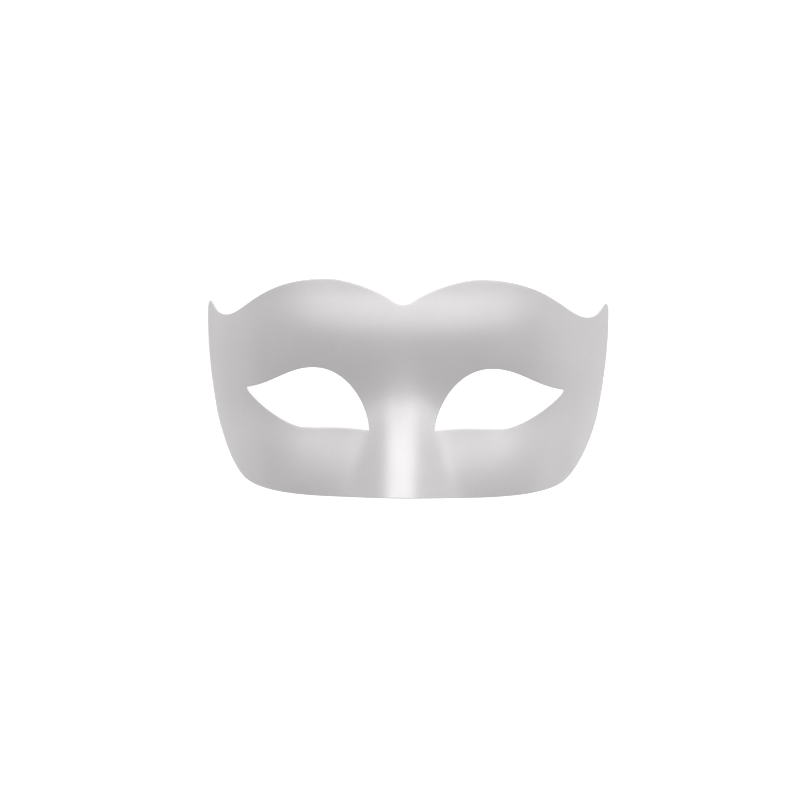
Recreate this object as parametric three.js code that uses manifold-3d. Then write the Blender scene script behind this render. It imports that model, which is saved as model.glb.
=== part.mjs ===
// Venetian half mask of moulded plastic, lying face up on a table.
// Units are millimetres. +X runs to the right of the picture, +Y to the forehead, +Z out through the nose.
// The origin is on the table under the middle of the mask. The two side rims rest on the table at z = 0.

import * as THREE from 'three';
import { ParametricGeometry } from 'three/addons/geometries/ParametricGeometry.js';
import { mergeVertices } from 'three/addons/utils/BufferGeometryUtils.js';
import Module from 'manifold-3d';

// Driving sizes of the shell
const WALL = 1.5;
const HALF_WIDTH = 90.4;
const FACE_HEIGHT = 62.0;
const NOSE_ROOT_HEIGHT = 58.5;

// The sides stand furthest apart at the temple and draw in towards the cheeks, near their rims alone
const TEMPLE_Y = 32.9;
const TEMPLE_ROUND = 55.0;
const SIDE_DRAW = 0.3;
const RIM_TURN = 6.0;

// The face bends back from its middle to its side rims, which stand at this angle to the table
const RIM_ANGLE = THREE.MathUtils.degToRad(78.0);
const BEND_FULLNESS = 1.3;

// Forehead and cheeks lean back past these level lines, with a slope that sets in softly.
// The forehead's line arches up by this much at the half width, and the slope eases at the brow's edge.
const FOREHEAD = { line: 22.4, slope: 0.216, soft: 2.8 };
const FOREHEAD_ARCH = 15.2;
const BROW_EDGE = { line: 41.0, slope: 0.089, soft: 1.5 };
const CHEEK = { line: -40.6, slope: 0.136, soft: 4.0 };

// A shallow hollow runs across the face at the eyes, and gets narrower and deeper outwards
const EYE_HOLLOW = {
  line: -7.8,
  reachAbove: 20.2,
  reachBelow: 29.8,
  narrowing: 0.196,
  depth: 5.26,
  deepening: 0.94,
};

// The nose is a ridge with a rounded back. It rises towards the lower edge and falls away under the brow.
const NOSE_RISE = { line: -1.6, slope: 0.383, soft: 5.7 };
const NOSE_BROW = { line: 7.2, slope: 0.33, soft: 3.0 };
const NOSE = { halfBack: 10.7, roundness: 2.13, flank: 1.175, blend: 4.9 };

// The cut outline of the right half, seen from the front, as smooth stretches round from the chin side.
// Each stretch has its end points with two handles between them, and its number of steps.
// Between the cheek and the temple it stands just outside the resting line, so the table cuts it there.
const BOTTOM = [0.0, -46.8];
const LOWER_CORNER = [71.9, -39.1];
const TEMPLE = [91.6, 23.9];
const HORN_OUTSIDE = [90.0, 38.6];
const HORN_INSIDE = [89.1, 38.6];
const DIP = [80.2, 32.2];
const BROW_PEAK = [34.0, 47.3];
const NOTCH_SHOULDER = [5.4, 38.3];
const NOTCH = [0.0, 36.1];
const OUTLINE = [
  { points: [BOTTOM, [22.5, -46.8], [62.3, -48.8], LOWER_CORNER], steps: 20 },
  { points: [LOWER_CORNER, [84.2, -27.2], [90.5, 1.9], TEMPLE], steps: 18 },
  { points: [TEMPLE, [91.9, 29.4], [90.9, 35.6], HORN_OUTSIDE], steps: 4 },
  { points: [HORN_OUTSIDE, [89.8, 39.1], [89.3, 39.1], HORN_INSIDE], steps: 2 },
  { points: [HORN_INSIDE, [86.6, 35.4], [85.3, 32.2], DIP], steps: 5 },
  { points: [DIP, [71.1, 32.2], [64.1, 47.3], BROW_PEAK], steps: 14 },
  { points: [BROW_PEAK, [23.8, 47.3], [10.5, 41.6], NOTCH_SHOULDER], steps: 8 },
  { points: [NOTCH_SHOULDER, [3.9, 37.2], [2.8, 36.1], NOTCH], steps: 3 },
  { points: [NOTCH, [0.0, 8.4], [0.0, -19.3], BOTTOM], steps: 20 },
];

// The wall's cut edge leans inwards with the face: this share of square to it at the sides and the brow.
// Along the lower edge it goes straight back.
const CUT_LEAN = 0.5;

// The right eye opening, round the same way: a long almond with a flick at its outer corner.
// The corner itself has a short stretch of its own.
const INNER_CORNER = [14.0, -18.3];
const LOWER_LID = [42.5, -17.4];
const OUTER_CORNER_BELOW = [69.9, -0.6];
const OUTER_CORNER_ABOVE = [69.5, 0.1];
const UPPER_LID = [39.0, 8.7];
const EYE = [
  { points: [INNER_CORNER, [28.6, -16.6], [30.6, -17.5], LOWER_LID], steps: 18 },
  { points: [LOWER_LID, [51.3, -17.4], [67.5, -5.5], OUTER_CORNER_BELOW], steps: 20 },
  { points: [OUTER_CORNER_BELOW, [70.2, 0.0], [70.1, 0.0], OUTER_CORNER_ABOVE], steps: 6 },
  { points: [OUTER_CORNER_ABOVE, [57.6, 1.5], [50.5, 8.7], UPPER_LID], steps: 19 },
  { points: [UPPER_LID, [23.4, 8.7], [14.7, -7.9], INNER_CORNER], steps: 31 },
];

// Rings of faces between the eye and the outline, and how far the end rings crowd together
const RINGS = 11;
const RING_CROWDING = 0.35;

const wasm = await Module();
wasm.setup();

// How high a ramp stands at a distance past its line
function rampHeight(ramp, past) {
  return ramp.slope * ramp.soft * Math.log1p(Math.exp(past / ramp.soft));
}

// How far the hollow at the eyes lowers the face, at a place and its share of the way out
function hollowFall(x, y, share) {
  const away = y - EYE_HOLLOW.line;
  const reachBelow = EYE_HOLLOW.reachBelow - EYE_HOLLOW.narrowing * Math.abs(x);
  const reach = away > 0 ? EYE_HOLLOW.reachAbove : reachBelow;
  return EYE_HOLLOW.depth * (1 + EYE_HOLLOW.deepening * share * share) * Math.exp(-((away / reach) ** 2));
}

// How far the forehead and the cheeks lean back
function leanFall(x, y) {
  const line = FOREHEAD.line + FOREHEAD_ARCH * (x / HALF_WIDTH) ** 2;
  const forehead = rampHeight(FOREHEAD, y - line) - rampHeight(BROW_EDGE, y - BROW_EDGE.line);
  return forehead + rampHeight(CHEEK, CHEEK.line - y);
}

// Half the distance between the resting lines at y
function restingX(y) {
  return HALF_WIDTH - SIDE_DRAW * (Math.hypot(TEMPLE_Y - y, TEMPLE_ROUND) - TEMPLE_ROUND);
}

// How far out a place is, from 0 in the middle to 1 at the resting line
function sideShare(x, y) {
  const rest = restingX(y);
  return (x / HALF_WIDTH) * (1 + (HALF_WIDTH / rest - 1) * (x / rest) ** RIM_TURN);
}

// Height of the bend from the middle, at share 0, to the side rim, at share 1, and straight on past it
function bend(share) {
  const sine = Math.sin(RIM_ANGLE);
  const cosine = Math.cos(RIM_ANGLE);
  const rim = cosine ** BEND_FULLNESS;
  if (share > 1) {
    const slope = (BEND_FULLNESS * sine * sine * cosine ** (BEND_FULLNESS - 2)) / (1 - rim);
    return (1 - share) * slope;
  }
  const turn = Math.sqrt(1 - (share * sine) ** 2);
  return (turn ** BEND_FULLNESS - rim) / (1 - rim);
}

// Height of the nose ridge
function noseHeight(x, y) {
  const rise = rampHeight(NOSE_RISE, NOSE_RISE.line - y) - rampHeight(NOSE_BROW, y - NOSE_BROW.line);
  const spread = (1 + (Math.abs(x) / NOSE.halfBack) ** NOSE.roundness) ** (1 / NOSE.roundness);
  return NOSE_ROOT_HEIGHT + rise - NOSE.flank * NOSE.halfBack * (spread - 1);
}

// Height of the mask's face above the table
function faceHeight(x, y) {
  const share = sideShare(Math.abs(x), y);
  const face = (FACE_HEIGHT - leanFall(x, y) - hollowFall(x, y, share)) * bend(share);
  const nose = noseHeight(x, y);
  return (face + nose + Math.hypot(nose - face, NOSE.blend)) / 2;
}

// Outward normal of the face
function faceNormal(x, y) {
  const step = 0.01;
  const slopeX = (faceHeight(x + step, y) - faceHeight(x - step, y)) / (2 * step);
  const slopeY = (faceHeight(x, y + step) - faceHeight(x, y - step)) / (2 * step);
  return new THREE.Vector3(-slopeX, -slopeY, 1).normalize();
}

// Height of the lining: the surface one wall behind the face, found at the same place seen from the front
function liningHeight(x, y) {
  const passes = 12;
  let foot = new THREE.Vector2(x, y);
  for (let pass = 0; pass < passes; pass += 1) {
    const normal = faceNormal(foot.x, foot.y);
    foot = new THREE.Vector2(x + WALL * normal.x, y + WALL * normal.y);
  }
  return faceHeight(foot.x, foot.y) - WALL * faceNormal(foot.x, foot.y).z;
}

// Evenly spaced points round a closed row of stretches
function loopPoints(stretches) {
  return stretches.flatMap(({ points, steps }) => {
    const curve = new THREE.CubicBezierCurve(...points.map(([x, y]) => new THREE.Vector2(x, y)));
    return curve.getSpacedPoints(steps).slice(0, steps);
  });
}

const outlinePoints = loopPoints(OUTLINE);
const eyePoints = loopPoints(EYE);

// A point of the closed wall of the right half. The share round goes round the eye. The share across goes
// over the face from the eye to the outline, through the wall, and back over the lining to the eye.
// The eye opening is cut straight through from the front. The outline's cut leans with the face.
function wallPoint(shareRound, shareAcross, target) {
  const place = Math.round(shareRound * outlinePoints.length) % outlinePoints.length;
  const row = Math.round(shareAcross * 2 * (RINGS + 1)) % (2 * (RINGS + 1));
  const onFace = row <= RINGS;
  const even = (onFace ? row : 2 * RINGS + 1 - row) / RINGS;
  const crowded = (1 - Math.cos(Math.PI * even)) / 2;
  const ring = THREE.MathUtils.lerp(even, crowded, RING_CROWDING);
  const plan = new THREE.Vector2().lerpVectors(eyePoints[place], outlinePoints[place], ring);
  if (onFace) {
    target.set(plan.x, plan.y, faceHeight(plan.x, plan.y));
    return;
  }
  const normal = faceNormal(plan.x, plan.y);
  const upwards = Math.max(0, plan.y / BROW_PEAK[1]);
  plan.x -= ring * WALL * CUT_LEAN * normal.x;
  plan.y -= ring * WALL * CUT_LEAN * upwards * normal.y;
  target.set(plan.x, plan.y, liningHeight(plan.x, plan.y));
}

// The right half of the mask as a closed ring of wall round its eye
function halfGeometry() {
  const surface = (u, v, target) => wallPoint(1 - u, v, target);
  return new ParametricGeometry(surface, outlinePoints.length, 2 * (RINGS + 1));
}

// The same shape as it looks in a mirror on the middle plane
function mirrored(geometry) {
  const twin = geometry.clone();
  twin.scale(-1, 1, 1);
  const corners = twin.index.array;
  for (let first = 0; first < corners.length; first += 3) {
    [corners[first], corners[first + 1]] = [corners[first + 1], corners[first]];
  }
  return twin;
}

function toSolid(geometry) {
  const bare = geometry.clone();
  bare.deleteAttribute('normal');
  bare.deleteAttribute('uv');
  const merged = mergeVertices(bare, 1e-5);
  const vertProperties = new Float32Array(merged.attributes.position.array);
  const triVerts = new Uint32Array(merged.index.array);
  return new wasm.Manifold(new wasm.Mesh({ numProp: 3, vertProperties, triVerts }));
}

function toGeometry(solid) {
  const { vertProperties, triVerts } = solid.getMesh();
  const geometry = new THREE.BufferGeometry();
  geometry.setAttribute('position', new THREE.BufferAttribute(vertProperties, 3));
  geometry.setIndex(new THREE.BufferAttribute(triVerts, 1));
  geometry.computeVertexNormals();
  return geometry;
}

// Both halves as one shell, cut off flat at the table so that the side rims get their resting strips
function shellGeometry() {
  const depth = 40;
  const below = new THREE.BoxGeometry(4 * HALF_WIDTH, 4 * HALF_WIDTH, depth);
  below.translate(0, 0, -depth / 2);
  const half = halfGeometry();
  const whole = toSolid(half).add(toSolid(mirrored(half)));
  return toGeometry(whole.subtract(toSolid(below)));
}

const silverLacquer = new THREE.MeshStandardMaterial({ color: 0xc6c3c4, roughness: 0.42, metalness: 0.35 });

const shell = new THREE.Mesh(shellGeometry(), silverLacquer);
shell.name = 'mask_shell';

const group = new THREE.Group();
group.add(shell);

export default group;
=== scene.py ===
import logging
import math
from dataclasses import dataclass
from enum import Enum
from typing import Any, ClassVar

import bmesh
import bpy
from mathutils import Matrix, Vector, geometry, kdtree


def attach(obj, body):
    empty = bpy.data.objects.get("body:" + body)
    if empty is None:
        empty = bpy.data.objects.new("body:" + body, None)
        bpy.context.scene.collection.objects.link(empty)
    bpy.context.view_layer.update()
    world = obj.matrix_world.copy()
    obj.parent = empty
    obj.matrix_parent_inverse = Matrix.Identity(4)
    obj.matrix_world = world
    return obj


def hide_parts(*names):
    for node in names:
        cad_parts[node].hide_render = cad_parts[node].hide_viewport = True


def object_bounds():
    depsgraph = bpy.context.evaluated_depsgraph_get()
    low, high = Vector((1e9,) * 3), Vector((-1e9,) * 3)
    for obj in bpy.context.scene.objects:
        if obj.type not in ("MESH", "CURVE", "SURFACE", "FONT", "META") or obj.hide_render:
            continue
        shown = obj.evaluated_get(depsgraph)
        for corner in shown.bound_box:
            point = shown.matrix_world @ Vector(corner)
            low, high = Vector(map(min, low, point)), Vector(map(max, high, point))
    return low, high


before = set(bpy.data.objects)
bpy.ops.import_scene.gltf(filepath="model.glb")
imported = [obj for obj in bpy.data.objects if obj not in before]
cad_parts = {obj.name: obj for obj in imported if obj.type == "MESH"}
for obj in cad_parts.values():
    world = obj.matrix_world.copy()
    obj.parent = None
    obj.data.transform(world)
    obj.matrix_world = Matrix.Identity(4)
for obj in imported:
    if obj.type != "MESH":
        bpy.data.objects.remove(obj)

# A venetian half mask of moulded plastic with a satin silver lacquer, lying face up on a white table.
# The mask's sizes are in millimetres and are turned to metres where a mesh is made. The table's, the
# lamps' and the camera's are in metres.
# +X runs to the right of the picture, +Y to the forehead and +Z out through the nose.

LOG = logging.getLogger("half_mask")
MM = 0.001
CAD_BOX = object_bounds()
# In metres: points this close together are one, and a point this close to a plane lies on it
SAME_PLACE = 1e-7
ON_PLANE = 1e-6

Plan = tuple[float, float]


@dataclass(frozen=True)
class Ramp:
    """A fall or rise along the face that sets in smoothly past a level line."""

    line: float
    slope: float
    soft: float

    def height(self, past: float) -> float:
        """Give how high the ramp stands at a distance past its line."""
        return self.slope * self.soft * math.log1p(math.exp(past / self.soft))


@dataclass(frozen=True)
class Hollow:
    """A shallow hollow across the face along a level line, which gets deeper and narrower outwards."""

    line: float
    reach_above: float
    reach_below: float
    narrowing: float
    depth: float
    deepening: float

    def fall(self, x: float, y: float, share: float) -> float:
        """Give how far the hollow lowers the face.

        Args:
            x: Place across the mask.
            y: Place along the mask.
            share: How far out the place is, from 0 in the middle to 1 at the side rim.

        Returns:
            The fall, in millimetres.
        """
        away = y - self.line
        reach = self.reach_above if away > 0.0 else self.reach_below - self.narrowing * abs(x)
        return self.depth * (1.0 + self.deepening * share * share) * math.exp(-((away / reach) ** 2))


@dataclass(frozen=True)
class Nose:
    """A ridge down the middle that rises to the lower edge, with a rounded back and sloping flanks."""

    root_height: float = 58.5
    rise: Ramp = Ramp(line=-1.6, slope=0.383, soft=5.7)
    brow: Ramp = Ramp(line=7.2, slope=0.33, soft=3.0)
    half_back: float = 10.7
    roundness: float = 2.13
    flank: float = 1.175
    blend: float = 4.9

    def height(self, x: float, y: float) -> float:
        """Give the height of the ridge above the table.

        Args:
            x: Place across the mask.
            y: Place along the mask.

        Returns:
            The height, which falls away from the middle line on both sides.
        """
        rise = self.rise.height(self.rise.line - y)
        fall = self.brow.height(y - self.brow.line)
        spread = (1.0 + (abs(x) / self.half_back) ** self.roundness) ** (1.0 / self.roundness)
        return self.root_height + rise - fall - self.flank * self.half_back * (spread - 1.0)


@dataclass(frozen=True)
class FaceForm:
    """The moulded form of the mask, as a height above the table at each place of its plan."""

    wall: float = 1.5
    half_width: float = 90.4
    face_height: float = 62.0
    temple_y: float = 32.9
    temple_round: float = 55.0
    side_draw: float = 0.3
    rim_turn: float = 6.0
    rim_angle: float = math.radians(78.0)
    bend_fullness: float = 1.3
    forehead: Ramp = Ramp(line=22.4, slope=0.216, soft=2.8)
    forehead_arch: float = 15.2
    brow_edge: Ramp = Ramp(line=41.0, slope=0.089, soft=1.5)
    cheek: Ramp = Ramp(line=-40.6, slope=0.136, soft=4.0)
    eye_hollow: Hollow = Hollow(
        line=-7.8, reach_above=20.2, reach_below=29.8, narrowing=0.196, depth=5.26, deepening=0.94
    )
    nose: Nose = Nose()

    def resting_x(self, y: float) -> float:
        """Give half the distance between the two lines where the sides meet the table."""
        reach = math.hypot(self.temple_y - y, self.temple_round) - self.temple_round
        return self.half_width - self.side_draw * reach

    def share(self, x: float, y: float) -> float:
        """Give how far out a place is, from 0 in the middle to 1 where the side meets the table.

        Args:
            x: Place across the mask, on the right.
            y: Place along the mask.

        Returns:
            The share. The sides draw in near their rims alone.
        """
        rest = self.resting_x(y)
        return x / self.half_width * (1.0 + (self.half_width / rest - 1.0) * (x / rest) ** self.rim_turn)

    def bend(self, share: float) -> float:
        """Give the height of the bend across the face, from 1 in the middle to 0 at the side rim.

        Args:
            share: How far out the place is, from 0 in the middle to 1 at the side rim.

        Returns:
            The height as a share of the face's own, straight on and negative past the rim.
        """
        sine = math.sin(self.rim_angle)
        cosine = math.cos(self.rim_angle)
        rim = cosine ** self.bend_fullness
        if share > 1.0:
            steepness = self.bend_fullness * sine * sine * cosine ** (self.bend_fullness - 2.0) / (1.0 - rim)
            return (1.0 - share) * steepness
        turn = math.sqrt(1.0 - (share * sine) ** 2)
        return (turn ** self.bend_fullness - rim) / (1.0 - rim)

    def lean(self, x: float, y: float) -> float:
        """Give how far the forehead and the cheeks lean back.

        Args:
            x: Place across the mask.
            y: Place along the mask.

        Returns:
            The fall. The forehead's sets in higher up at the sides, and is less steep at the brow's edge.
        """
        line = self.forehead.line + self.forehead_arch * (x / self.half_width) ** 2
        forehead = self.forehead.height(y - line) - self.brow_edge.height(y - self.brow_edge.line)
        return forehead + self.cheek.height(self.cheek.line - y)

    def height(self, x: float, y: float) -> float:
        """Give the height of the face above the table.

        Args:
            x: Place across the mask.
            y: Place along the mask.

        Returns:
            The height of the bent face, blended into the nose.
        """
        share = self.share(abs(x), y)
        face = (self.face_height - self.lean(x, y) - self.eye_hollow.fall(x, y, share)) * self.bend(share)
        nose = self.nose.height(x, y)
        return (face + nose + math.hypot(nose - face, self.nose.blend)) / 2.0

    def normal(self, x: float, y: float) -> Vector:
        """Give the direction that the face looks in.

        Args:
            x: Place across the mask.
            y: Place along the mask.

        Returns:
            The direction, square to the face and one unit long.
        """
        step = 0.01
        slope_x = (self.height(x + step, y) - self.height(x - step, y)) / (2.0 * step)
        slope_y = (self.height(x, y + step) - self.height(x, y - step)) / (2.0 * step)
        return Vector((-slope_x, -slope_y, 1.0)).normalized()

    def height_behind(self, x: float, y: float, depth: float) -> float:
        """Give the height of the surface that lies a depth behind the face.

        Args:
            x: Place across the mask.
            y: Place along the mask.
            depth: How far the surface lies behind the face, square to the face.

        Returns:
            The height of that surface above the table.
        """
        passes = 8
        foot = Vector((x, y))
        for _ in range(passes):
            foot = Vector((x, y)) + depth * self.normal(*foot).to_2d()
        return self.height(*foot) - depth * self.normal(*foot).z


@dataclass(frozen=True)
class Stretch:
    """One smooth stretch of a cut line seen from the front: two ends with two handles between them."""

    start: Plan
    start_handle: Plan
    end_handle: Plan
    end: Plan
    steps: int

    def points(self, fineness: int) -> list[Vector]:
        """Give evenly spaced points from the start up to the point before the end.

        Args:
            fineness: How many points are laid for each step.

        Returns:
            The points, in millimetres.
        """
        samples = 400
        corners = (self.start, self.start_handle, self.end_handle, self.end)
        ends = [Vector((*corner, 0.0)) for corner in corners]
        curve = [point.to_2d() for point in geometry.interpolate_bezier(*ends, samples)]
        travelled = [0.0]
        for before, after in zip(curve, curve[1:]):
            travelled.append(travelled[-1] + (after - before).length)
        count = self.steps * fineness
        points = []
        place = 0
        for number in range(count):
            wanted = travelled[-1] * number / count
            while travelled[place + 1] < wanted:
                place += 1
            share = (wanted - travelled[place]) / (travelled[place + 1] - travelled[place])
            points.append(curve[place].lerp(curve[place + 1], share))
        return points


BOTTOM: Plan = (0.0, -46.8)
LOWER_CORNER: Plan = (71.9, -39.1)
TEMPLE: Plan = (91.6, 23.9)
HORN_OUTSIDE: Plan = (90.0, 38.6)
HORN_INSIDE: Plan = (89.1, 38.6)
DIP: Plan = (80.2, 32.2)
BROW_PEAK: Plan = (34.0, 47.3)
NOTCH_SHOULDER: Plan = (5.4, 38.3)
NOTCH: Plan = (0.0, 36.1)
OUTLINE = (
    Stretch(BOTTOM, (22.5, -46.8), (62.3, -48.8), LOWER_CORNER, 20),
    Stretch(LOWER_CORNER, (84.2, -27.2), (90.5, 1.9), TEMPLE, 18),
    Stretch(TEMPLE, (91.9, 29.4), (90.9, 35.6), HORN_OUTSIDE, 4),
    Stretch(HORN_OUTSIDE, (89.8, 39.1), (89.3, 39.1), HORN_INSIDE, 2),
    Stretch(HORN_INSIDE, (86.6, 35.4), (85.3, 32.2), DIP, 5),
    Stretch(DIP, (71.1, 32.2), (64.1, 47.3), BROW_PEAK, 14),
    Stretch(BROW_PEAK, (23.8, 47.3), (10.5, 41.6), NOTCH_SHOULDER, 8),
    Stretch(NOTCH_SHOULDER, (3.9, 37.2), (2.8, 36.1), NOTCH, 3),
    Stretch(NOTCH, (0.0, 8.4), (0.0, -19.3), BOTTOM, 20),
)

INNER_CORNER: Plan = (14.0, -18.3)
LOWER_LID: Plan = (42.5, -17.4)
OUTER_CORNER_BELOW: Plan = (69.9, -0.6)
OUTER_CORNER_ABOVE: Plan = (69.5, 0.1)
UPPER_LID: Plan = (39.0, 8.7)
EYE = (
    Stretch(INNER_CORNER, (28.6, -16.6), (30.6, -17.5), LOWER_LID, 18),
    Stretch(LOWER_LID, (51.3, -17.4), (67.5, -5.5), OUTER_CORNER_BELOW, 20),
    Stretch(OUTER_CORNER_BELOW, (70.2, 0.0), (70.1, 0.0), OUTER_CORNER_ABOVE, 6),
    Stretch(OUTER_CORNER_ABOVE, (57.6, 1.5), (50.5, 8.7), UPPER_LID, 19),
    Stretch(UPPER_LID, (23.4, 8.7), (14.7, -7.9), INNER_CORNER, 31),
)


@dataclass(frozen=True)
class CutLine:
    """A closed line of stretches on one half of the face, seen from the front.

    The part of it on the middle line is no cut, because the two halves join there.
    """

    stretches: tuple[Stretch, ...]
    sheet_on_left: bool

    def points(self, fineness: int, inset: float = 0.0) -> list[Vector]:
        """Lay points along the line.

        Args:
            fineness: How many points are laid for each step.
            inset: How far the points stand from the cut, into the sheet.

        Returns:
            The points, in millimetres.
        """
        line = [point for stretch in self.stretches for point in stretch.points(fineness)]
        into = inset if self.sheet_on_left else -inset
        moved = []
        for number, point in enumerate(line):
            before, after = line[number - 1], line[(number + 1) % len(line)]
            if point.x == before.x == 0.0:
                before = Vector((-after.x, after.y))
            elif point.x == after.x == 0.0:
                after = Vector((-before.x, before.y))
            along = (after - before).normalized()
            moved.append(point + into * Vector((-along.y, along.x)))
        return moved


def srgb(colour: str) -> tuple[float, float, float, float]:
    """Turn an sRGB hex colour into the linear colour that a shader takes.

    Args:
        colour: Six hex digits, two each for red, green and blue.

    Returns:
        Linear red, green and blue, and a full alpha.
    """
    parts = [int(colour[place:place + 2], 16) / 255.0 for place in (0, 2, 4)]
    linear = [part / 12.92 if part <= 0.04045 else ((part + 0.055) / 1.055) ** 2.4 for part in parts]
    return (*linear, 1.0)


def add_node(
    tree: bpy.types.NodeTree,
    kind: str,
    settings: dict[str, Any] | None = None,
    inputs: dict[str | int, Any] | None = None,
) -> bpy.types.Node:
    """Add a node to a material with its settings, values and links.

    Args:
        tree: The material's node tree.
        kind: The node's type name.
        settings: Attributes of the node.
        inputs: For each input, a value, or an output socket that is linked to it.

    Returns:
        The new node.
    """
    node = tree.nodes.new(kind)
    for name, value in (settings or {}).items():
        setattr(node, name, value)
    for name, value in (inputs or {}).items():
        if isinstance(value, bpy.types.NodeSocket):
            tree.links.new(value, node.inputs[name])
        else:
            node.inputs[name].default_value = value
    return node


class Skin(Enum):
    """The two surfaces of the shell, by their place in its list of materials."""

    LACQUERED = 0
    LINING = 1


@dataclass(frozen=True)
class SilverLacquer:
    """Satin silver lacquer sprayed on moulded plastic.

    The fine aluminium flake in it gives a soft, wide gloss with a slightly warm grey colour, and the spray
    leaves a faint orange peel. Cloudy places are a little thicker, so a little lighter.
    """

    name: str = "silver_lacquer_on_moulded_plastic"
    light: str = "c0bebf"
    dark: str = "b6b5b5"
    metallic: float = 0.42
    roughness: float = 0.44
    roughness_spread: float = 0.03
    cloud_size: float = 24.0 * MM
    cloud_detail: float = 3.0
    flake_size: float = 0.45 * MM
    flake_contrast: float = 0.35
    peel_size: float = 1.3 * MM
    peel_height: float = 0.012 * MM

    def material(self) -> bpy.types.Material:
        """Build the material.

        Returns:
            The new material.
        """
        material = bpy.data.materials.new(self.name)
        material.use_nodes = True
        tree = material.node_tree
        shader = tree.nodes["Principled BSDF"]
        place = add_node(tree, "ShaderNodeTexCoord").outputs["Object"]
        clouds = add_node(
            tree,
            "ShaderNodeTexNoise",
            inputs={"Vector": place, "Scale": 1.0 / self.cloud_size, "Detail": self.cloud_detail},
        )
        flake = add_node(
            tree, "ShaderNodeTexVoronoi", inputs={"Vector": place, "Scale": 1.0 / self.flake_size}
        )
        speckle = add_node(tree, "ShaderNodeSeparateColor", inputs={"Color": flake.outputs["Color"]})
        tone = add_node(
            tree,
            "ShaderNodeMath",
            {"operation": "MULTIPLY_ADD"},
            {0: speckle.outputs["Red"], 1: self.flake_contrast, 2: clouds.outputs["Fac"]},
        )
        colour = add_node(
            tree,
            "ShaderNodeMix",
            {"data_type": "RGBA"},
            {"Factor": tone.outputs[0], "A": srgb(self.dark), "B": srgb(self.light)},
        )
        tree.links.new(colour.outputs["Result"], shader.inputs["Base Color"])
        gloss = add_node(
            tree,
            "ShaderNodeMapRange",
            inputs={
                "Value": clouds.outputs["Fac"],
                "To Min": self.roughness + self.roughness_spread,
                "To Max": self.roughness - self.roughness_spread,
            },
        )
        tree.links.new(gloss.outputs["Result"], shader.inputs["Roughness"])
        peel = add_node(
            tree, "ShaderNodeTexNoise", inputs={"Vector": place, "Scale": 1.0 / self.peel_size}
        )
        bump = add_node(
            tree, "ShaderNodeBump", inputs={"Height": peel.outputs["Fac"], "Distance": self.peel_height}
        )
        tree.links.new(bump.outputs["Normal"], shader.inputs["Normal"])
        shader.inputs["Metallic"].default_value = self.metallic
        return material


@dataclass(frozen=True)
class BareMoulding:
    """Pale grey moulded plastic, as it leaves the mould, on the inside of the mask.

    It is matt with a fine sparked grain, and silver overspray drifts in a little way from the edges.
    """

    name: str = "bare_moulded_plastic"
    plastic: str = "d2d0cd"
    overspray: str = "bdbabb"
    metallic: float = 0.4
    roughness: float = 0.62
    spray_roughness: float = 0.5
    drift_size: float = 3.0 * MM
    drift_detail: float = 4.0
    patchiness: float = 0.6
    grain_size: float = 0.5 * MM
    grain_height: float = 0.02 * MM

    def material(self) -> bpy.types.Material:
        """Build the material.

        Returns:
            The new material.
        """
        material = bpy.data.materials.new(self.name)
        material.use_nodes = True
        tree = material.node_tree
        shader = tree.nodes["Principled BSDF"]
        place = add_node(tree, "ShaderNodeTexCoord").outputs["Object"]
        spray = add_node(tree, "ShaderNodeAttribute", {"attribute_name": MaskShell.SPRAY})
        drift = add_node(
            tree,
            "ShaderNodeTexNoise",
            inputs={"Vector": place, "Scale": 1.0 / self.drift_size, "Detail": self.drift_detail},
        )
        patchy = add_node(
            tree,
            "ShaderNodeMath",
            {"operation": "MULTIPLY_ADD"},
            {0: drift.outputs["Fac"], 1: self.patchiness, 2: -self.patchiness / 2.0},
        )
        cover = add_node(
            tree,
            "ShaderNodeMath",
            {"operation": "ADD", "use_clamp": True},
            {0: spray.outputs["Fac"], 1: patchy.outputs[0]},
        )
        held = add_node(
            tree,
            "ShaderNodeMath",
            {"operation": "MULTIPLY", "use_clamp": True},
            {0: cover.outputs[0], 1: spray.outputs["Fac"]},
        )
        colour = add_node(
            tree,
            "ShaderNodeMix",
            {"data_type": "RGBA"},
            {"Factor": held.outputs[0], "A": srgb(self.plastic), "B": srgb(self.overspray)},
        )
        tree.links.new(colour.outputs["Result"], shader.inputs["Base Color"])
        for socket, bare, sprayed in (
            ("Metallic", 0.0, self.metallic),
            ("Roughness", self.roughness, self.spray_roughness),
        ):
            blend = add_node(
                tree,
                "ShaderNodeMapRange",
                inputs={"Value": held.outputs[0], "To Min": bare, "To Max": sprayed},
            )
            tree.links.new(blend.outputs["Result"], shader.inputs[socket])
        grain = add_node(
            tree, "ShaderNodeTexNoise", inputs={"Vector": place, "Scale": 1.0 / self.grain_size}
        )
        bump = add_node(
            tree, "ShaderNodeBump", inputs={"Height": grain.outputs["Fac"], "Distance": self.grain_height}
        )
        tree.links.new(bump.outputs["Normal"], shader.inputs["Normal"])
        return material


@dataclass(frozen=True)
class SectionPoint:
    """A point of the wall's cross-section, which runs from the eye out to the outline."""

    share: float
    inset: float
    depth: float


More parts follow.
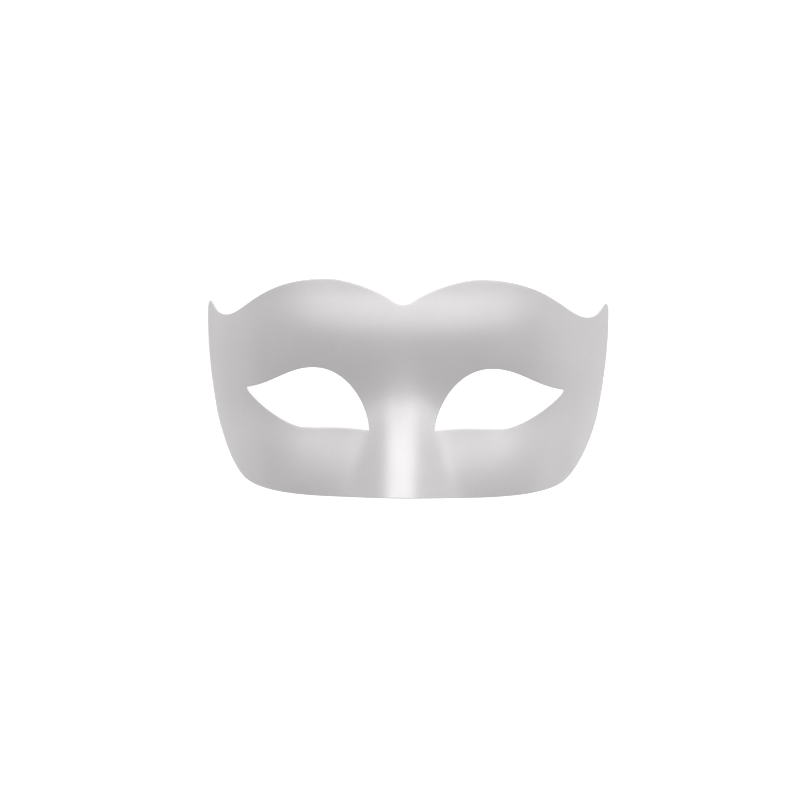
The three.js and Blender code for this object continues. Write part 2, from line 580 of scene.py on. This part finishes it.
@dataclass
class MaskShell:
    """The one moulded piece: a thin shell with the face outside, the lining inside and rounded cut edges."""

    form: FaceForm = FaceForm()
    outline: CutLine = CutLine(OUTLINE, sheet_on_left=True)
    eye: CutLine = CutLine(EYE, sheet_on_left=False)
    fineness: int = 4
    rings: int = 26
    crowding: float = 0.55
    cut_lean: float = 0.5
    edge_round: float = 0.2
    edge_steps: int = 3
    spray_reach: float = 11.0
    spray_fade: float = 1.5
    lacquer: SilverLacquer = SilverLacquer()
    lining: BareMoulding = BareMoulding()

    DEPTH: ClassVar[str] = "depth_behind_face"
    SPRAY: ClassVar[str] = "spray"

    def build(self) -> bpy.types.Object:
        """Shape the shell.

        Returns:
            The finished piece, without its materials.
        """
        mesh = bmesh.new()
        for name in (self.DEPTH, self.SPRAY):
            mesh.verts.layers.float.new(name)
        self._shape_half(mesh)
        self._spray_edges(mesh)
        self._join_halves(mesh)
        self._cut_at_table(mesh)
        mesh.verts.layers.float.remove(mesh.verts.layers.float[self.DEPTH])
        data = bpy.data.meshes.new("half_mask")
        mesh.to_mesh(data)
        mesh.free()
        piece = bpy.data.objects.new("half_mask", data)
        bpy.context.scene.collection.objects.link(piece)
        return piece

    def dress(self, piece: bpy.types.Object) -> None:
        """Give the piece its two finishes, in the order of its skins."""
        for finish in (self.lacquer, self.lining):
            piece.data.materials.append(finish.material())

    def section(self) -> list[SectionPoint]:
        """Give the wall's cross-section.

        Returns:
            Its points once round: over the face, round the outline's edge, back over the lining and round
            the eye's edge.
        """
        wall, edge = self.form.wall, self.edge_round
        turns = [math.pi / 2.0 * step / self.edge_steps for step in range(self.edge_steps + 1)]
        rounded = [(edge * (1.0 - math.sin(turn)), edge * (1.0 - math.cos(turn))) for turn in turns]
        rim = rounded[1:] + [(inset, wall - depth) for inset, depth in reversed(rounded[1:])]
        even = [number / self.rings for number in range(self.rings + 1)]
        shares = [share - self.crowding * math.sin(math.tau * share) / math.tau for share in even]
        return [
            *(SectionPoint(share, edge, 0.0) for share in shares),
            *(SectionPoint(1.0, inset, depth) for inset, depth in rim),
            *(SectionPoint(share, edge, wall) for share in reversed(shares)),
            *(SectionPoint(0.0, inset, depth) for inset, depth in reversed(rim)),
        ]

    def _shape_half(self, mesh: bmesh.types.BMesh) -> None:
        """Shape the right half as a closed ring of wall round its eye.

        The eye opening is cut straight through from the front. The outline's cut leans with the face.

        Args:
            mesh: The empty mesh.
        """
        depth_layer = mesh.verts.layers.float[self.DEPTH]
        section = self.section()
        insets = {point.inset for point in section}
        outlines = {inset: self.outline.points(self.fineness, inset) for inset in insets}
        eyes = {inset: self.eye.points(self.fineness, inset) for inset in insets}
        around = len(outlines[0.0])
        half_grid = 0.5
        bmesh.ops.create_grid(mesh, x_segments=around, y_segments=len(section), size=half_grid)
        for vertex in mesh.verts:
            place = round((vertex.co.x + half_grid) * around) % around
            point = section[round((vertex.co.y + half_grid) * len(section)) % len(section)]
            front = eyes[point.inset][place].lerp(outlines[point.inset][place], point.share)
            behind = front - point.share * point.depth * self._lean_of_cut(front)
            vertex.co = Vector((*behind, self.form.height_behind(*behind, point.depth))) * MM
            vertex[depth_layer] = point.depth
        bmesh.ops.remove_doubles(mesh, verts=mesh.verts[:], dist=SAME_PLACE)
        for face in mesh.faces:
            face.smooth = True
            on_lining = min(vertex[depth_layer] for vertex in face.verts) == self.form.wall
            face.material_index = Skin.LINING.value if on_lining else Skin.LACQUERED.value

    def _lean_of_cut(self, place: Vector) -> Vector:
        """Give how far the outline's cut leans inwards for each millimetre of depth.

        Between straight and square to the face at the sides and the brow, and straight along the lower edge.

        Args:
            place: The place on the face, seen from the front.

        Returns:
            The lean, seen from the front.
        """
        normal = self.form.normal(*place)
        return self.cut_lean * Vector((normal.x, normal.y * max(0.0, place.y / BROW_PEAK[1])))

    def _spray_edges(self, mesh: bmesh.types.BMesh) -> None:
        """Mark how much lacquer each vertex has: all of it outside, and what drifts in past the edges.

        Args:
            mesh: The shaped right half.
        """
        depth_layer = mesh.verts.layers.float[self.DEPTH]
        spray_layer = mesh.verts.layers.float[self.SPRAY]
        cuts = [point for line in (self.outline, self.eye) for point in line.points(self.fineness)]
        edges = [point for point in cuts if point.x > 0.0]
        tree = kdtree.KDTree(len(edges))
        for number, point in enumerate(edges):
            tree.insert((point.x, point.y, 0.0), number)
        tree.balance()
        for vertex in mesh.verts:
            _, _, distance = tree.find((vertex.co.x / MM, vertex.co.y / MM, 0.0))
            reach = max(0.0, 1.0 - distance / self.spray_reach) ** self.spray_fade
            vertex[spray_layer] = reach if vertex[depth_layer] == self.form.wall else 1.0

    def _join_halves(self, mesh: bmesh.types.BMesh) -> None:
        """Open the right half along the middle and join it with its mirror image.

        Args:
            mesh: The shaped right half.
        """
        middle = [face for face in mesh.faces if all(abs(vertex.co.x) < SAME_PLACE for vertex in face.verts)]
        bmesh.ops.delete(mesh, geom=middle, context="FACES")
        half = mesh.verts[:] + mesh.edges[:] + mesh.faces[:]
        bmesh.ops.mirror(mesh, geom=half, axis="X", merge_dist=ON_PLANE)
        bmesh.ops.recalc_face_normals(mesh, faces=mesh.faces[:])

    def _cut_at_table(self, mesh: bmesh.types.BMesh) -> None:
        """Cut the side rims off flat where the mask rests on the table, and close the cuts.

        Args:
            mesh: The whole shell.
        """
        cut = bmesh.ops.bisect_plane(
            mesh,
            geom=mesh.verts[:] + mesh.edges[:] + mesh.faces[:],
            dist=ON_PLANE,
            plane_co=(0.0, 0.0, 0.0),
            plane_no=(0.0, 0.0, -1.0),
            clear_outer=True,
        )
        rims = [item for item in cut["geom_cut"] if isinstance(item, bmesh.types.BMEdge)]
        strips = bmesh.ops.edgeloop_fill(mesh, edges=rims, mat_nr=Skin.LACQUERED.value)["faces"]
        bmesh.ops.recalc_face_normals(mesh, faces=mesh.faces[:])
        for edge in rims:
            edge.smooth = False
        LOG.info("resting strips: %d", len(strips))


@dataclass
class Table:
    """The plain white table top under the mask, glowing faintly, with a painted glow that fills the mask's
    shadow.
    """

    half_size: float = 3.0
    colour: str = "f9f9f9"
    roughness: float = 0.9
    # Painted light: a faint even glow all over, and a stronger round spot of glow where the mask's shadow
    # falls, which lights the shadow away.
    glow: float = 0.45
    glow_far: float = 0.1
    glow_middle: tuple[float, float, float] = (6.0 * MM, -27.0 * MM, 0.0)
    glow_reach: float = 130.0 * MM
    glow_full: float = 0.5

    def build(self) -> bpy.types.Object:
        """Make the table top at the height of the mask's lowest point.

        Returns:
            The table top with its material.
        """
        mesh = bmesh.new()
        bmesh.ops.create_grid(mesh, x_segments=1, y_segments=1, size=self.half_size)
        bmesh.ops.translate(mesh, verts=mesh.verts[:], vec=(0.0, 0.0, CAD_BOX[0][2]))
        data = bpy.data.meshes.new("table_top")
        mesh.to_mesh(data)
        mesh.free()
        top = bpy.data.objects.new("table_top", data)
        bpy.context.scene.collection.objects.link(top)
        top.data.materials.append(self.material())
        return top

    def material(self) -> bpy.types.Material:
        """Build the white acrylic with a faint even glow, and a painted round glow where the mask's shadow
        falls.

        Returns:
            The new material.
        """
        material = bpy.data.materials.new("white_acrylic_with_painted_glow")
        material.use_nodes = True
        tree = material.node_tree
        shader = tree.nodes["Principled BSDF"]
        place = add_node(tree, "ShaderNodeTexCoord").outputs["Object"]
        # The painted glow's round spot, placed where the mask's shadow falls on the table.
        painted_glow_spot = add_node(
            tree,
            "ShaderNodeMapping",
            {"vector_type": "TEXTURE"},
            {"Vector": place, "Location": self.glow_middle, "Scale": (self.glow_reach,) * 3},
        )
        fade = add_node(
            tree,
            "ShaderNodeTexGradient",
            {"gradient_type": "SPHERICAL"},
            {"Vector": painted_glow_spot.outputs["Vector"]},
        )
        strength = add_node(
            tree,
            "ShaderNodeMapRange",
            {"interpolation_type": "SMOOTHSTEP"},
            {
                "Value": fade.outputs["Fac"],
                "From Max": self.glow_full,
                "To Min": self.glow_far,
                "To Max": self.glow,
            },
        )
        tree.links.new(strength.outputs["Result"], shader.inputs["Emission Strength"])
        shader.inputs["Emission Color"].default_value = srgb(self.colour)
        shader.inputs["Base Color"].default_value = srgb(self.colour)
        shader.inputs["Roughness"].default_value = self.roughness
        return material


@dataclass(frozen=True)
class Softbox:
    """A large soft lamp that looks at the mask."""

    name: str
    place: tuple[float, float, float]
    size: tuple[float, float]
    watts: float
    colour: str = "ffffff"

    def hang(self, target: Vector) -> None:
        """Hang the lamp so that it faces the target.

        Args:
            target: The place that the lamp looks at.
        """
        light = bpy.data.lights.new(self.name, "AREA")
        light.shape = "RECTANGLE"
        light.size, light.size_y = self.size
        light.energy = self.watts
        light.color = srgb(self.colour)[:3]
        lamp = bpy.data.objects.new(self.name, light)
        lamp.location = self.place
        lamp.rotation_euler = (target - Vector(self.place)).to_track_quat("-Z", "Y").to_euler()
        bpy.context.scene.collection.objects.link(lamp)


@dataclass
class Studio:
    """Soft white surroundings with a long strip light beyond the forehead and a low fill on the right."""

    surroundings: float = 0.586
    lamps: tuple[Softbox, ...] = (
        Softbox("forehead_strip", (0.034, 0.983, 1.172), (4.4, 0.4), 33.5, "fffdfe"),
        Softbox("right_fill", (1.4, 0.0, 0.13), (1.2, 0.2), 1.05),
    )

    def light(self, target: Vector) -> None:
        """Light the scene round the target.

        Args:
            target: The place that the lamps look at.
        """
        world = bpy.data.worlds.new("white_surroundings")
        world.use_nodes = True
        background = world.node_tree.nodes["Background"]
        background.inputs["Color"].default_value = (1.0, 1.0, 1.0, 1.0)
        background.inputs["Strength"].default_value = self.surroundings
        bpy.context.scene.world = world
        bpy.context.scene.view_settings.view_transform = "Standard"
        for lamp in self.lamps:
            lamp.hang(target)


@dataclass
class PhotoCamera:
    """The photograph's view: straight down on the mask, a touch from its right and turned a touch."""

    look: tuple[float, float, float] = (0.0, -0.1 * MM, 35.0 * MM)
    distance: float = 1.2
    sideways: float = math.radians(2.1)
    turn: float = math.radians(0.55)
    pixels_per_mm: float = 2.279
    look_pixel: tuple[float, float] = (404.2, 388.5)
    picture: float = 800.0
    sensor: float = 36.0

    def place(self) -> None:
        """Make the camera and set it as the scene's."""
        data = bpy.data.cameras.new("photo_camera")
        camera = bpy.data.objects.new("photo_camera", data)
        bpy.context.scene.collection.objects.link(camera)
        bpy.context.scene.camera = camera
        back = Vector((math.sin(self.sideways), 0.0, math.cos(self.sideways)))
        right = Vector((0.0, 1.0, 0.0)).cross(back).normalized()
        up = back.cross(right)
        level = Matrix((right, up, back)).transposed()
        turned = level @ Matrix.Rotation(self.turn, 3, "Z")
        camera.matrix_world = Matrix.Translation(Vector(self.look) + self.distance * back) @ turned.to_4x4()
        data.sensor_width = self.sensor
        data.lens = self.sensor * self.pixels_per_mm * self.distance / MM / self.picture
        data.shift_x = (self.picture / 2.0 - self.look_pixel[0]) / self.picture
        data.shift_y = (self.look_pixel[1] - self.picture / 2.0) / self.picture


def main() -> None:
    """Build the mask, its table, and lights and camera."""
    logging.basicConfig(level=logging.INFO, format="%(name)s: %(message)s")
    shell = MaskShell()
    piece = shell.build()
    shell.dress(piece)
    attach(piece, "root")
    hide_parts("mask_shell")
    LOG.info("%s: %d faces", piece.name, len(piece.data.polygons))
    table = Table().build()
    LOG.info("%s: %d faces", table.name, len(table.data.polygons))
    Studio().light(Vector((0.0, 0.0, CAD_BOX[1][2] / 2.0)))
    PhotoCamera().place()


if __name__ == "__main__":
    main()
